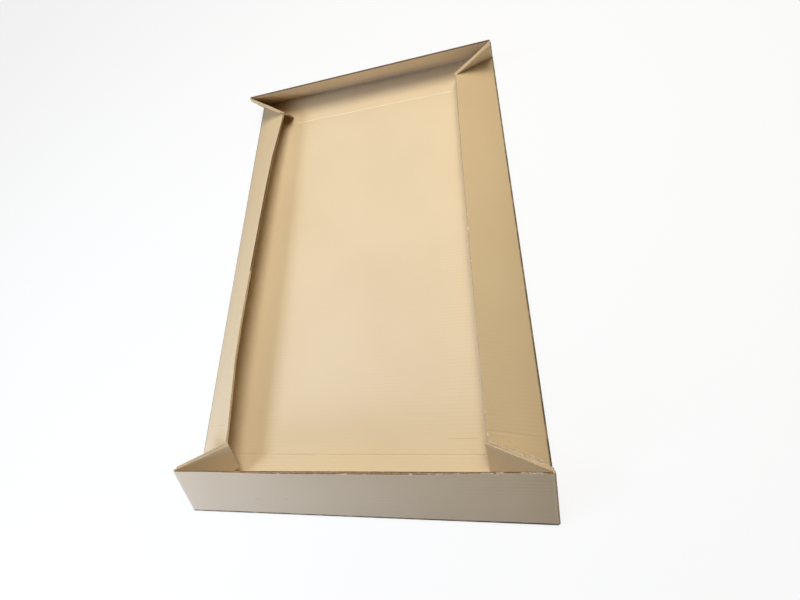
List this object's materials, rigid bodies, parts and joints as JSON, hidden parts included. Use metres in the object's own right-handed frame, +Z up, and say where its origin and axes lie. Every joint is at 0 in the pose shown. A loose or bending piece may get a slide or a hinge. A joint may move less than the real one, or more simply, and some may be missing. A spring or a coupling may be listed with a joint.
{
  "type": "folding pallet tray",
  "caption": "Shallow rectangular corrugated tray for a pallet box, folded from one sheet with glued gusset corners; walls lean in, half erected.",
  "frame": {"origin": "centre of the base's underside", "axes": "+X across the width, +Y along the length away from the viewer, +Z up out of the tray"},
  "size_m": [0.735, 1.208, 0.1025],
  "materials": {
    "kraft_board": "matte brown kraft liner"
  },
  "bodies": {
    "root": {"folded_tray": "kraft_board"}
  },
  "joints": []
}
